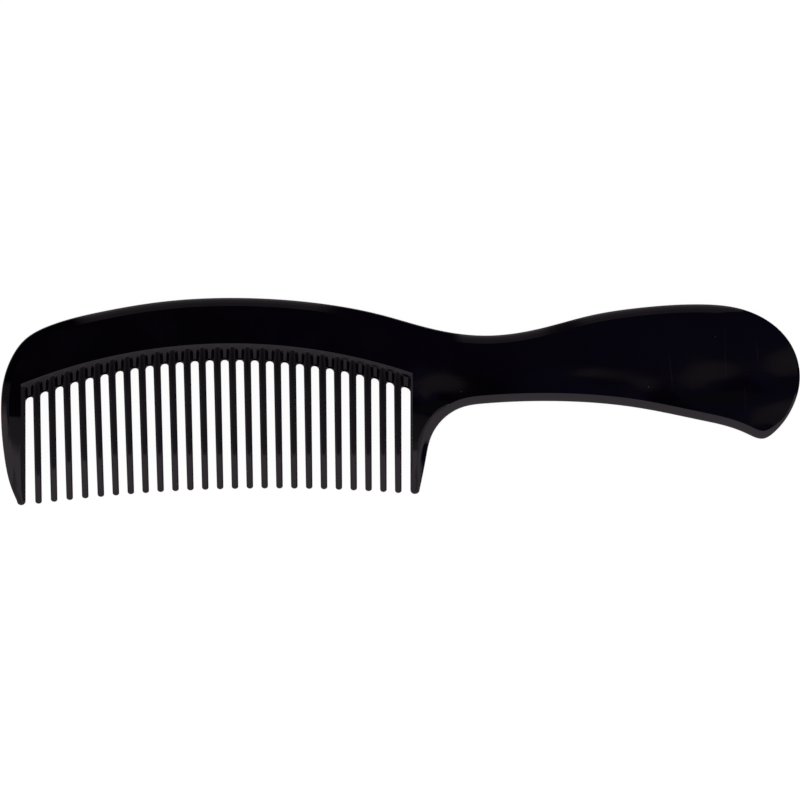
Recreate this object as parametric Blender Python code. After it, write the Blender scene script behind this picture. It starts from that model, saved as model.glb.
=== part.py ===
"""A handled comb, moulded in one piece, lying flat with its underside on Z = 0.

X runs along the comb with the handle at +X, the teeth point to -Y and Z is the thickness.
The moulding is built as the regions that a person would name: the back, the handle, the guard
at each end of the row, and every tooth. Neighbours meet face to face on flat seams.
"""

import math

import bmesh
import bpy
import numpy as np
from mathutils import Vector

# Row of teeth
tooth_count = 25
tooth_pitch = 0.00406
tooth_length = 0.0347
tooth_root_width = 0.0019
tooth_tip_width = 0.0017
tooth_root_thickness = 0.0039
tooth_tip_thickness = 0.0009
tooth_upper_slope = 0.026
tooth_lower_slope = 0.096
tooth_bend_depth = 0.0252
tooth_chamfer = 0.0005
tooth_tip_rounding = 0.0007
tooth_seat = 0.0003
chamfer_limit_share = 0.8
nose_gap = 0.00206
heel_gap = 0.00246
gap_top_rise = 0.0006

# Arcs that the row follows: the tops of the gaps, and the tips of the teeth
arch_radius = 0.1525
tip_line_radius = 0.484
arch_centre_share = 0.535
tip_line_centre_share = 0.635

# The lean of the teeth towards the handle, as a slope
lean_peak = 0.035
lean_place_shares = (0.0, 0.17, 0.5, 1.0)
lean_height_shares = (0.5, 1.0, 0.67, 0.17)

# Body of the comb
body_thickness = 0.0046
spine_depth = 0.0168
web_thickness = 0.001
root_bevel = 0.0045
edge_band = 0.0022
edge_land = 0.0012
band_break_shares = (0.05, 0.13)

# The edge band narrows round the handle's end, between these shares of the handle's length
end_band_share = 0.3
end_band_top_shares = (0.79, 0.86)
end_band_tail_shares = (0.935, 0.977)

# Guards at the ends of the row
nose_guard_width = 0.0067
nose_window_bevel = 0.0013
heel_guard_width = 0.0057
heel_window_bevel = 0.0006
window_edge_thickness = 0.0036
guard_seat = 0.0012
guard_tip_thickness = 0.0016
heel_seam_share = 0.61
guard_flat_share = 0.08
guard_taper_shares = (0.25, 1.0)

# Handle
handle_length = 0.1052
handle_width = 0.033
neck_share = 0.193

# Outline of the nose guard's outer edge: shares of its width, and of its length from tip to seam
nose_guard_shares = ((0.645, 0.042), (0.391, 0.198), (0.157, 0.458), (0.036, 0.728))

# Outline of the nose's shoulder: shares of the guard's width, and of the rise from seam to crest
shoulder_shares = ((0.065, 0.196), (0.43, 0.452), (0.956, 0.616))

# Outline of the spine: shares of the blade's length, and of the rise from seam to crest
spine_shares = ((0.121, 0.749), (0.243, 0.872), (0.39, 0.964), (0.585, 1.0), (0.781, 0.949), (0.927, 0.847))

# Outline of the handle from the heel round to the neck: shares of its length and of its width
heel_top_shares = ((0.052, 0.26),)
handle_top_shares = ((neck_share, 0.201), (0.334, 0.26), (0.462, 0.366), (0.591, 0.43), (0.745, 0.457))
handle_end_shares = ((0.848, 0.42), (0.926, 0.304), (0.976, 0.134), (1.0, -0.148), (0.975, -0.425))
handle_tail_shares = ((0.937, -0.583), (0.906, -0.644), (0.862, -0.601), (0.745, -0.493))
handle_under_shares = ((0.591, -0.395), (0.386, -0.338), (neck_share, -0.356))

# Outline of the heel's fillet: shares of the guard's width, and of the drop from neck to seam
heel_fillet_shares = ((2.39, 0.126), (1.51, 0.476))

# Outline of the heel guard's outer edge: shares of its width, and of its length from seam to tip
heel_guard_shares = ((0.96, 0.0), (0.757, 0.326), (0.576, 0.683), (0.438, 0.927))

# Fineness of the curves
outline_steps = 4
gap_top_steps = 4
tip_angles = (math.radians(35), math.radians(65))
sharp_angle = math.radians(25)

# Places that follow from the sizes
window_left = nose_guard_width
last_root_x = window_left + nose_gap + tooth_root_width / 2 + (tooth_count - 1) * tooth_pitch
window_right = last_root_x + tooth_root_width / 2 + heel_gap
window_length = window_right - window_left
arch_centre = window_left + arch_centre_share * window_length
tip_line_centre = window_left + tip_line_centre_share * window_length
half_body = body_thickness / 2


def arc_drop(x, centre, radius):
    """How far an arc with its crown at centre has fallen at x."""
    return radius - math.sqrt(radius ** 2 - (x - centre) ** 2)


def arch_y(x):
    """Height of the tops of the gaps, with zero at the crown."""
    return -arc_drop(x, arch_centre, arch_radius)


def crease_y(x):
    """Height of the crease where the flat face breaks into the bevel above the teeth."""
    return arch_y(x) + root_bevel


def bevel_y(x, half):
    """Height at which the bevel above the teeth has a given half thickness."""
    fall = (half_body - half) / (half_body - web_thickness / 2)
    return crease_y(x) - fall * root_bevel


def tip_y(x):
    """Height of the line through the tips."""
    return -tooth_length - arc_drop(x, tip_line_centre, tip_line_radius)


def root_x(index):
    """Place of a tooth's root along the row, counted from the nose."""
    return window_left + nose_gap + tooth_root_width / 2 + index * tooth_pitch


def lean_of(index):
    """Slope of a tooth towards the handle."""
    place = index / max(tooth_count - 1, 1)
    return lean_peak * np.interp(place, lean_place_shares, lean_height_shares)


def root_y(index):
    """Height of the flat seam under a tooth, just below the gaps on both sides of it."""
    sides = (root_x(index) - tooth_root_width / 2, root_x(index) + tooth_root_width / 2)
    return min(arch_y(x) for x in sides) - gap_top_rise - tooth_seat


def smooth_curve(points, steps):
    """Samples a natural cubic spline through the points, which it keeps among its samples."""
    knots = np.array(points)
    spans = np.linalg.norm(np.diff(knots, axis=0), axis=1)
    count = len(knots)
    system = np.eye(count)
    bends = np.zeros((count, 2))
    for k in range(1, count - 1):
        before, after = spans[k - 1], spans[k]
        system[k, k - 1:k + 2] = (before, 2 * (before + after), after)
        slope_change = (knots[k + 1] - knots[k]) / after - (knots[k] - knots[k - 1]) / before
        bends[k] = 6 * slope_change
    bends = np.linalg.solve(system, bends)
    samples = []
    for k, span in enumerate(spans):
        for step in range(steps):
            ahead = span * step / steps
            left = span - ahead
            curved = (bends[k] * left ** 3 + bends[k + 1] * ahead ** 3) / (6 * span)
            start = (knots[k] / span - bends[k] * span / 6) * left
            finish = (knots[k + 1] / span - bends[k + 1] * span / 6) * ahead
            samples.append(curved + start + finish)
    samples.append(knots[-1])
    return samples


def corner_y(x):
    """Height at which a guard's inner edge meets the first gap, level with a tooth's seam."""
    return arch_y(x) - gap_top_rise - tooth_seat


nose_seam_y = corner_y(window_left) - guard_seat
heel_seam_y = -heel_seam_share * tooth_length
nose_tip_y = tip_y(window_left)
heel_tip_y = tip_y(window_right)
neck_x = window_right + neck_share * handle_length
neck_under_y = handle_under_shares[-1][1] * handle_width


def spread(shares, start, span):
    """Points at shares of a span, measured from its start."""
    return [(start[0] + along * span[0], start[1] + rise * span[1]) for along, rise in shares]


def outline_groups():
    """The outer edge's own points in four groups that end where the seams cross it."""
    to_seam = (nose_guard_width, nose_seam_y - nose_tip_y)
    nose = spread(nose_guard_shares, (0.0, nose_tip_y), to_seam)
    top = [(0.0, nose_seam_y)]
    top += spread(shoulder_shares, (0.0, nose_seam_y), (nose_guard_width, spine_depth - nose_seam_y))
    top += spread(spine_shares, (0.0, nose_seam_y), (window_right, spine_depth - nose_seam_y))
    from_heel = (window_right, 0.0)
    handle_box = (handle_length, handle_width)
    top += spread(heel_top_shares, from_heel, handle_box)
    round_shares = handle_top_shares + handle_end_shares + handle_tail_shares + handle_under_shares
    grip = spread(round_shares, from_heel, handle_box)
    to_heel_seam = (heel_guard_width, heel_seam_y - neck_under_y)
    fillet = spread(heel_fillet_shares, (window_right, neck_under_y), to_heel_seam)
    to_heel_tip = (heel_guard_width, heel_tip_y - heel_seam_y)
    heel = spread(heel_guard_shares, (window_right, heel_seam_y), to_heel_tip)
    return nose, top, grip, fillet, heel


nose_knots, top_knots, grip_knots, fillet_knots, heel_knots = outline_groups()
outline = smooth_curve(nose_knots + top_knots + grip_knots + fillet_knots + heel_knots, outline_steps)
nose_mark = len(nose_knots) * outline_steps
neck_top_mark = nose_mark + len(top_knots) * outline_steps
neck_under_mark = neck_top_mark + (len(grip_knots) - 1) * outline_steps
heel_mark = neck_under_mark + (len(fillet_knots) + 1) * outline_steps
low_x = min(point[0] for point in outline)
high_x = max(point[0] for point in outline)
high_y = max(point[1] for point in outline)
to_origin = Vector((-(low_x + high_x) / 2, -(nose_tip_y + high_y) / 2, half_body))


def band_share(point):
    """Share of the edge band's full width at a point of the outline."""
    along = (point[0] - window_right) / handle_length
    places = end_band_top_shares if point[1] > 0 else end_band_tail_shares
    return np.interp(along, places, (1.0, end_band_share))


def band_profile(point, inward):
    """Three points up the rounded outer edge: its land, its break, and the crease of the flat face."""
    break_in, break_up = band_break_shares
    share = band_share(point)
    insets = (0.0, break_in * share * edge_band, share * edge_band)
    land = half_body - share * (half_body - edge_land / 2)
    heights = (land, land + break_up * (half_body - land), half_body)
    return [(point[0] + inward[0] * d, point[1] + inward[1] * d, z) for d, z in zip(insets, heights)]


def window_profile(x, y, bevel, towards):
    """Three points up a guard's inner edge, which faces the row."""
    edge = window_edge_thickness / 2
    middle = (edge + half_body) / 2
    return [(x, y, edge), (x + towards * bevel / 2, y, middle), (x + towards * bevel, y, half_body)]


def outline_station(index, seam=None):
    """Profile at one sample of the outline, set along the seam where the outline crosses one."""
    before = outline[max(index - 1, 0)]
    after = outline[min(index + 1, len(outline) - 1)]
    along = (after - before) / np.linalg.norm(after - before)
    inward = np.array((along[1], -along[0]))
    if seam is not None:
        inward = np.array(seam) / np.dot(seam, inward)
    return band_profile(outline[index], inward)


def corner_cut(half, full):
    """The chamfer on the corners of a tooth's section, kept inside its half width and thickness."""
    return min(tooth_chamfer, chamfer_limit_share * half, chamfer_limit_share * full)


def tooth_ridge_stations(index):
    """The stub and ridge of one tooth on the back, from its right side to its left."""
    half = tooth_root_width / 2
    full = tooth_root_thickness / 2
    cut = corner_cut(half, full)
    y = root_y(index)
    stations = []
    for across, height in ((half, full - cut), (half - cut, full), (cut - half, full), (-half, full - cut)):
        x = root_x(index) + across
        stations.append([(x, y, height), (x, bevel_y(x, height), height), (x, crease_y(x), half_body)])
    return stations


def gap_stations(left, right):
    """The rounded top of one gap and the sloping pad above it, from right to left."""
    middle = (left + right) / 2
    side = tooth_root_thickness / 2 - corner_cut(tooth_root_width / 2, tooth_root_thickness / 2)
    stations = []
    for step in range(gap_top_steps + 1):
        angle = math.pi * step / gap_top_steps
        x = middle + (right - left) / 2 * math.cos(angle)
        y = arch_y(x) - gap_top_rise * (1 - math.sin(angle))
        low = (x, y, web_thickness / 2)
        stations.append([low, (x, bevel_y(x, side), side), (x, crease_y(x), half_body)])
    return stations


def arch_stations():
    """The lower side of the back, from the heel guard's seam to the nose guard's."""
    stations = [window_profile(window_right, heel_seam_y, heel_window_bevel, 1)]
    stations.append(window_profile(window_right, corner_y(window_right), heel_window_bevel, 1))
    right = window_right
    for index in reversed(range(tooth_count)):
        stations += gap_stations(root_x(index) + tooth_root_width / 2, right)
        stations += tooth_ridge_stations(index)
        right = root_x(index) - tooth_root_width / 2
    stations += gap_stations(window_left, right)
    heel_crease_x = window_right + heel_window_bevel
    nose_crease_x = window_left - nose_window_bevel
    stations[2][2] = (heel_crease_x, crease_y(heel_crease_x), half_body)
    stations[-1][2] = (nose_crease_x, crease_y(nose_crease_x), half_body)
    stations.append(window_profile(window_left, corner_y(window_left), nose_window_bevel, -1))
    stations.append(window_profile(window_left, nose_seam_y, nose_window_bevel, -1))
    return stations


def add_face(bm, found, corners):
    """Adds a face through the corners, with points that coincide used once."""
    loop = []
    for corner in corners:
        key = tuple(round(value, 8) for value in corner)
        if key not in found:
            found[key] = bm.verts.new(corner)
        if not loop or loop[-1] is not found[key]:
            loop.append(found[key])
    if loop[0] is loop[-1]:
        loop.pop()
    if len(set(loop)) > 2 and bm.faces.get(loop) is None:
        bm.faces.new(loop)


def below(point):
    """The same point on the comb's underside."""
    return (point[0], point[1], -point[2])


def plate_mesh(name, stations):
    """A closed plate whose edge follows the stations, mirrored about the middle of its thickness."""
    bm = bmesh.new()
    found = {}
    for here, there in zip(stations, stations[1:] + stations[:1]):
        add_face(bm, found, (below(here[0]), below(there[0]), there[0], here[0]))
        for low in range(len(here) - 1):
            corners = (here[low], there[low], there[low + 1], here[low + 1])
            add_face(bm, found, corners)
            add_face(bm, found, [below(corner) for corner in corners])
    top_loop = [station[-1] for station in stations]
    add_face(bm, found, top_loop)
    add_face(bm, found, [below(corner) for corner in top_loop])
    return closed_mesh(name, bm)


def loft_mesh(name, sections):
    """A closed solid through a row of sections, each with the same number of points."""
    bm = bmesh.new()
    found = {}
    for here, there in zip(sections, sections[1:]):
        for k in range(len(here)):
            add_face(bm, found, (here[k - 1], here[k], there[k], there[k - 1]))
    add_face(bm, found, sections[0])
    add_face(bm, found, sections[-1])
    return closed_mesh(name, bm)


def closed_mesh(name, bm):
    """Turns the faces outwards and writes them to a mesh."""
    bmesh.ops.recalc_face_normals(bm, faces=bm.faces)
    mesh = bpy.data.meshes.new(name)
    bm.to_mesh(mesh)
    bm.free()
    mesh.shade_smooth()
    mesh.set_sharp_from_angle(angle=sharp_angle)
    return mesh


def black_plastic(name):
    """Glossy black moulding plastic."""
    material = bpy.data.materials.new(name)
    material.use_nodes = True
    shader = material.node_tree.nodes["Principled BSDF"]
    shader.inputs["Base Color"].default_value = (0.006, 0.0055, 0.0065, 1.0)
    shader.inputs["Roughness"].default_value = 0.14
    shader.inputs["Metallic"].default_value = 0.0
    return material


def place(mesh, anchor, carrier):
    """Makes the object of a mesh, with its own origin at the anchor and its shape unmoved."""
    for vertex in mesh.vertices:
        vertex.co -= anchor
    thing = bpy.data.objects.new(mesh.name, mesh)
    thing.location = anchor
    thing.parent = carrier
    mesh.materials.append(black_plastic(mesh.name + "_plastic"))
    bpy.context.scene.collection.objects.link(thing)
    return thing


def make_back(carrier):
    """The blade: spine, nose shoulder, neck and heel, with the stub of every tooth."""
    stations = [outline_station(nose_mark, (1.0, 0.0))]
    stations += [outline_station(k) for k in range(nose_mark + 1, neck_top_mark)]
    stations.append(outline_station(neck_top_mark, (0.0, -1.0)))
    stations.append(outline_station(neck_under_mark, (0.0, 1.0)))
    stations += [outline_station(k) for k in range(neck_under_mark + 1, heel_mark)]
    stations.append(outline_station(heel_mark, (-1.0, 0.0)))
    stations += arch_stations()
    return place(plate_mesh("back", stations), Vector((arch_centre, 0.0, 0.0)), carrier)


def make_handle(carrier):
    """The handle, from the seam at the neck to its rounded end."""
    stations = [outline_station(neck_top_mark, (0.0, -1.0))]
    stations += [outline_station(k) for k in range(neck_top_mark + 1, neck_under_mark)]
    stations.append(outline_station(neck_under_mark, (0.0, 1.0)))
    return place(plate_mesh("handle", stations), Vector((neck_x, 0.0, 0.0)), carrier)


def guard_section(outer_x, inner_x, y, bevel, thinning):
    """One level section of a guard, narrowed so that its bands never meet."""
    width = abs(inner_x - outer_x)
    inward = math.copysign(1.0, inner_x - outer_x)
    squeeze = min(1.0, (1 - guard_flat_share) * width / (edge_band + bevel))
    outer = band_profile((0.0, y), (inward, 0.0))
    inner = window_profile(0.0, y, bevel, -inward)
    upper = [(outer_x + x * squeeze, y, z * thinning) for x, y, z in outer]
    upper += [(inner_x + x * squeeze, y, z * thinning) for x, y, z in reversed(inner)]
    return upper + [below(point) for point in reversed(upper)]


def guard_sections(samples, inner_x, tip, bevel):
    """Sections of a guard from its seam to its tip, thinning from the taper's start."""
    taper_start, taper_end = guard_taper_shares
    thin = guard_tip_thickness / body_thickness
    seam = samples[0][1]
    sections = []
    for x, y in samples:
        fall = (seam - y) / (seam - tip)
        thinning = np.interp(fall, (taper_start, taper_end), (1.0, thin))
        sections.append(guard_section(x, inner_x, y, bevel, thinning))
    last_x, last_y = samples[-1]
    centre = (last_x + inner_x) / 2
    for angle in tip_angles:
        y = last_y + (tip - last_y) * math.sin(angle)
        half = (inner_x - last_x) / 2 * math.cos(angle)
        sections.append(guard_section(centre - half, centre + half, y, bevel, thin * math.cos(angle / 2)))
    end = (inner_x - last_x) / 2 * math.cos(max(tip_angles)) / 2
    sections.append(guard_section(centre - end, centre + end, tip, bevel, thin / 2))
    return sections


def make_guards(carrier):
    """The broad tooth at each end of the row."""
    nose_samples = list(reversed(outline[:nose_mark + 1]))
    nose = guard_sections(nose_samples, window_left, nose_tip_y, nose_window_bevel)
    place(loft_mesh("nose_guard", nose), Vector((window_left, nose_seam_y, 0.0)), carrier)
    heel_samples = outline[heel_mark:]
    heel = guard_sections(heel_samples, window_right, heel_tip_y, heel_window_bevel)
    place(loft_mesh("heel_guard", heel), Vector((window_right, heel_seam_y, 0.0)), carrier)


def tooth_section(x, y, width, thickness):
    """One section of a tooth, with its corners cut."""
    half, full = width / 2, thickness / 2
    cut = corner_cut(half, full)
    upper = ((-half, full - cut), (cut - half, full), (half - cut, full), (half, full - cut))
    ring = [(x + across, y, height) for across, height in upper]
    return ring + [below(point) for point in reversed(ring)]


def tooth_thickness(start_y, y):
    """Thickness of a tooth at a height: its faces slope gently at first, and more below their bend."""
    bend_y = -tooth_bend_depth
    fall = tooth_upper_slope * (start_y - max(y, bend_y)) + tooth_lower_slope * max(bend_y - y, 0.0)
    return max(tooth_root_thickness - 2 * fall, tooth_tip_thickness)


def make_tooth(index, carrier):
    """One tooth, thinning from its seam on the back to its rounded tip."""
    start_x, start_y = root_x(index), root_y(index)
    lean = lean_of(index)
    end_y = tip_y(start_x)
    round_y = end_y + tooth_tip_rounding

    def centre(y):
        return start_x + lean * (start_y - y)

    sections = []
    for y in (start_y, -tooth_bend_depth, round_y):
        width = np.interp(start_y - y, (0.0, start_y - round_y), (tooth_root_width, tooth_tip_width))
        sections.append(tooth_section(centre(y), y, width, tooth_thickness(start_y, y)))
    thin = tooth_thickness(start_y, round_y)
    for angle in tip_angles:
        y = round_y + (end_y - round_y) * math.sin(angle)
        shrink = math.cos(angle)
        sections.append(tooth_section(centre(y), y, tooth_tip_width * shrink, thin * shrink))
    shrink /= 2
    sections.append(tooth_section(centre(end_y), end_y, tooth_tip_width * shrink, thin * shrink))
    mesh = loft_mesh(f"tooth_{index + 1:02d}", sections)
    return place(mesh, Vector((start_x, start_y, 0.0)), carrier)


def make_comb():
    """Clears the scene and builds the comb round the centre of its footprint."""
    for thing in list(bpy.data.objects):
        bpy.data.objects.remove(thing, do_unlink=True)
    carrier = bpy.data.objects.new("comb", None)
    carrier.location = to_origin
    bpy.context.scene.collection.objects.link(carrier)
    make_back(carrier)
    make_handle(carrier)
    make_guards(carrier)
    for index in range(tooth_count):
        make_tooth(index, carrier)


make_comb()
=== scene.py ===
"""The handled comb in full detail, with its plastic, its floor, its light and its camera.

Lengths are in millimetres until a mesh is written. Shapes are worked out as in the part's source:
x from the outer edge of the nose, y from the crown of the gaps, z from the middle of the thickness.
"""

import math

import bmesh
import bpy
import numpy as np
from mathutils.geometry import delaunay_2d_cdt
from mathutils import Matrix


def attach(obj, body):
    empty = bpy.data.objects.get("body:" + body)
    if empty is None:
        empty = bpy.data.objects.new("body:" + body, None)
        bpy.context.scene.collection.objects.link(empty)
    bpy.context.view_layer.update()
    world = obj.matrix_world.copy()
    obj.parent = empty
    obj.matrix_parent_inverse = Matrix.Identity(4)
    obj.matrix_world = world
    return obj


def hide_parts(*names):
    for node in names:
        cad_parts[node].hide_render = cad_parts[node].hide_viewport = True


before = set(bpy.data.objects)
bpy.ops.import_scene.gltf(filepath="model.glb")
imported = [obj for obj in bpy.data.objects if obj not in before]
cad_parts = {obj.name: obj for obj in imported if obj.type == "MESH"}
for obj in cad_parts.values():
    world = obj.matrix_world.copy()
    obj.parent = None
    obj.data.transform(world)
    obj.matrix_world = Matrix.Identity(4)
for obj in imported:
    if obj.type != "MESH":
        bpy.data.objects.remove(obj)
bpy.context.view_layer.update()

MM = 0.001

# Row of teeth
TOOTH_COUNT = 25
TOOTH_PITCH = 4.06
TOOTH_LENGTH = 34.7
TOOTH_ROOT_WIDTH = 2.0
TOOTH_TIP_WIDTH = 1.8
TOOTH_SEAT = 0.1
TIP_ROUNDING = 0.7
NOSE_GAP = 2.01
HEEL_GAP = 2.41
GAP_TOP_RISE = 0.8
LEAN_PEAK = 0.035
LEAN_PLACES = (0.0, 0.17, 0.5, 1.0)
LEAN_HEIGHTS = (0.5, 1.0, 0.67, 0.17)

# Thinning of a tooth: heights from its seam, and the slope of its face at each, in degrees
TOOTH_FALL = ((5.0, 2.4), (3.9, 0.95), (0.0, 0.98), (-2.5, 1.1), (-6.0, 1.6), (-25.0, 2.0), (-40.0, 2.0))
ROOT_HALF = 1.99
TIP_HALF = 0.36

# Bend of a tooth: the slope below it, its height and span, and its shift in the first teeth
LOWER_SLOPE = 5.2
BEND_Y = -25.2
BEND_SPAN = 3.0
BEND_REACH = 20.0
BEND_PLACES = (0, 2, 4, 5)
BEND_SHIFTS = (-5.5, -2.0, -1.0, 0.0)

# Section of a tooth: its crown, and its corners with their most as shares of thickness and width
CROWN = 0.35
CORNER_RADIUS = 0.3
CORNER_LIMITS = (0.6, 0.5)

# Arcs of the gap tops and of the tips
ARCH_RADIUS = 152.5
TIP_RADIUS = 484.0
ARCH_CENTRE_SHARE = 0.535
TIP_CENTRE_SHARE = 0.635

# Body
HALF_BODY = 2.3
SPINE_DEPTH = 16.8
ROOT_BEVEL = 4.5
FLOOR_HALF = 0.55
BAND_WIDTH = 2.2
SKIN = 0.012

# Guards
NOSE_WIDTH = 6.7
NOSE_BEVEL = 1.3
HEEL_WIDTH = 5.7
HEEL_BEVEL = 0.6
GUARD_SEAT = 1.2
HEEL_SEAM_SHARE = 0.61

# Handle
HANDLE_LENGTH = 105.2
HANDLE_WIDTH = 33.0
NECK_SHARE = 0.193

# Outline: shares of the width and height of each stretch, from the nose guard's tip round to the heel's
NOSE_SHARES = ((0.645, 0.042), (0.391, 0.198), (0.157, 0.458), (0.036, 0.728))
SHOULDER_SHARES = ((0.065, 0.196), (0.43, 0.452), (0.956, 0.616))
SPINE_SHARES = ((0.121, 0.749), (0.243, 0.872), (0.39, 0.964), (0.585, 1.0), (0.781, 0.949), (0.927, 0.847))
HANDLE_SHARES = (
    (0.052, 0.26), (NECK_SHARE, 0.201), (0.334, 0.26), (0.462, 0.366), (0.591, 0.43), (0.745, 0.457),
    (0.848, 0.42), (0.926, 0.304), (0.976, 0.134), (1.0, -0.148), (0.975, -0.425), (0.937, -0.583),
    (0.906, -0.644), (0.862, -0.601), (0.745, -0.493), (0.591, -0.395), (0.386, -0.338),
    (NECK_SHARE, -0.356),
)
FILLET_SHARES = ((2.39, 0.126), (1.51, 0.476))
HEEL_SHARES = ((0.96, 0.0), (0.757, 0.326), (0.576, 0.683), (0.438, 0.927))
OUTLINE_STEPS = 12
HEEL_TOP_KNOTS = 1


def root_x(index):
    """Place of the middle of a tooth's root."""
    return window_left + NOSE_GAP + TOOTH_ROOT_WIDTH / 2 + index * TOOTH_PITCH


# Places that follow from the sizes
window_left = NOSE_WIDTH
window_right = root_x(TOOTH_COUNT - 1) + TOOTH_ROOT_WIDTH / 2 + HEEL_GAP
arch_centre = window_left + ARCH_CENTRE_SHARE * (window_right - window_left)
tip_centre = window_left + TIP_CENTRE_SHARE * (window_right - window_left)


def arc_drop(x, centre, radius):
    """How far an arc with its crown at centre has fallen at x."""
    return radius - math.sqrt(radius ** 2 - (x - centre) ** 2)


def arch_y(x):
    """Height of the tops of the gaps."""
    return -arc_drop(x, arch_centre, ARCH_RADIUS)


def crease_y(x):
    """Height of the crease above the teeth."""
    return arch_y(x) + ROOT_BEVEL


def tip_y(x):
    """Height of the line that the tips end on."""
    return -TOOTH_LENGTH - arc_drop(x, tip_centre, TIP_RADIUS)


def lean_of(index):
    """Lean of a tooth towards the handle, as a slope."""
    return LEAN_PEAK * np.interp(index / (TOOTH_COUNT - 1), LEAN_PLACES, LEAN_HEIGHTS)


def corner_y(x):
    """Height of the corner where a gap's rounded top ends."""
    return arch_y(x) - GAP_TOP_RISE - TOOTH_SEAT


def root_y(index):
    """Height of a tooth's seam."""
    half = TOOTH_ROOT_WIDTH / 2
    return min(corner_y(root_x(index) - half), corner_y(root_x(index) + half))


nose_seam = corner_y(window_left) - GUARD_SEAT
heel_seam = -HEEL_SEAM_SHARE * TOOTH_LENGTH
nose_tip = tip_y(window_left)
heel_tip = tip_y(window_right)
neck_under = HANDLE_SHARES[-1][1] * HANDLE_WIDTH


def smooth_curve(points, steps):
    """Samples a natural cubic spline through the points."""
    knots = np.array(points)
    spans = np.linalg.norm(np.diff(knots, axis=0), axis=1)
    count = len(knots)
    system = np.eye(count)
    bends = np.zeros((count, 2))
    for k in range(1, count - 1):
        before, after = spans[k - 1], spans[k]
        system[k, k - 1:k + 2] = (before, 2 * (before + after), after)
        bends[k] = 6 * ((knots[k + 1] - knots[k]) / after - (knots[k] - knots[k - 1]) / before)
    bends = np.linalg.solve(system, bends)
    samples = []
    for k, span in enumerate(spans):
        for step in range(steps):
            ahead = span * step / steps
            left = span - ahead
            curved = (bends[k] * left ** 3 + bends[k + 1] * ahead ** 3) / (6 * span)
            start = (knots[k] / span - bends[k] * span / 6) * left
            finish = (knots[k + 1] / span - bends[k + 1] * span / 6) * ahead
            samples.append(curved + start + finish)
    samples.append(knots[-1])
    return np.array(samples)


def spread(shares, start, span):
    """Points at shares of a span."""
    return [(start[0] + along * span[0], start[1] + rise * span[1]) for along, rise in shares]


nose_knots = spread(NOSE_SHARES, (0.0, nose_tip), (NOSE_WIDTH, nose_seam - nose_tip))
top_knots = [(0.0, nose_seam)]
top_knots += spread(SHOULDER_SHARES, (0.0, nose_seam), (NOSE_WIDTH, SPINE_DEPTH - nose_seam))
top_knots += spread(SPINE_SHARES, (0.0, nose_seam), (window_right, SPINE_DEPTH - nose_seam))
handle_knots = spread(HANDLE_SHARES, (window_right, 0.0), (HANDLE_LENGTH, HANDLE_WIDTH))
fillet_knots = spread(FILLET_SHARES, (window_right, neck_under), (HEEL_WIDTH, heel_seam - neck_under))
heel_knots = spread(HEEL_SHARES, (window_right, heel_seam), (HEEL_WIDTH, heel_tip - heel_seam))
outline = smooth_curve(nose_knots + top_knots + handle_knots + fillet_knots + heel_knots, OUTLINE_STEPS)
nose_mark = len(nose_knots) * OUTLINE_STEPS
neck_top_mark = nose_mark + (len(top_knots) + HEEL_TOP_KNOTS) * OUTLINE_STEPS
neck_under_mark = neck_top_mark + (len(handle_knots) - HEEL_TOP_KNOTS - 1) * OUTLINE_STEPS
heel_mark = neck_under_mark + (len(fillet_knots) + 1) * OUTLINE_STEPS
tangents = np.gradient(outline, axis=0)
tangents /= np.linalg.norm(tangents, axis=1)[:, None]
inwards = np.column_stack((tangents[:, 1], -tangents[:, 0]))
to_origin = np.array((
    -(outline[:, 0].min() + outline[:, 0].max()) / 2,
    -(nose_tip + outline[:, 1].max()) / 2,
    HALF_BODY,
))


def profile_down(slopes, steps, width, edge_radius, ridge=0.0):
    """Points from the crease of the flat face down a rounded edge: pairs of inset and height.

    The slope grows from the first to the second of the slopes, and turns upright on the edge radius.
    A ridge at mid thickness is the mould's parting line.
    """
    outer = SKIN + ridge
    turn = math.radians(90 - slopes[1])
    rim = outer + edge_radius * (1 - math.cos(turn))
    inset, height = width, HALF_BODY
    points = [(inset, height)]
    run = (inset - rim) / steps
    for step in range(steps):
        share = (step + 0.5) / steps
        inset -= run
        height -= run * math.tan(math.radians(slopes[0] + (slopes[1] - slopes[0]) * share))
        points.append((inset, height))
    base = height - edge_radius * math.sin(turn)
    for share in TURN_SHARES:
        angle = turn * share
        points.append((outer + edge_radius * (1 - math.cos(angle)), base + edge_radius * math.sin(angle)))
    if ridge:
        points += [(outer, PARTING_TOP), (SKIN, PARTING_FOOT), (SKIN, 0.0)]
    return points


# Rounded edges: first and last slope in degrees, steps, inset of the crease, and radius of the turn
BAND_SHAPE = ((29.0, 42.0), 8, BAND_WIDTH, 0.3)
NOSE_SHAPE = ((20.0, 24.0), 3, NOSE_BEVEL, 0.16)
HEEL_SHAPE = ((24.0, 30.0), 2, HEEL_BEVEL, 0.12)
TURN_SHARES = (0.75, 0.5, 0.25, 0.0)

# Parting line: its rise, the height that it stays under, and the heights of its shoulder and foot
PARTING_RISE = 0.025
PARTING_HALF = 0.1
PARTING_TOP = 0.09
PARTING_FOOT = 0.045

BAND = profile_down(*BAND_SHAPE, ridge=PARTING_RISE)
NOSE_EDGE = profile_down(*NOSE_SHAPE)
HEEL_EDGE = profile_down(*HEEL_SHAPE)

# Shallow sink marks in the thick places: middle, reach left, right, above and below, and depth
SINKS = (
    (118.0, -10.9, 4.8, 7.2, 4.5, 1.6, 0.175),
    (158.5, -6.0, 7.0, 7.0, 2.4, 2.4, 0.08),
    (174.0, -11.4, 8.0, 6.0, 4.4, 2.0, 0.15),
    (193.0, -8.2, 6.5, 9.0, 5.0, 1.8, 0.18),
    (218.5, -4.4, 8.0, 8.0, 5.2, 1.8, 0.21),
    (214.5, -17.0, 7.0, 8.0, 5.0, 2.4, 0.2),
)

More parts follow.
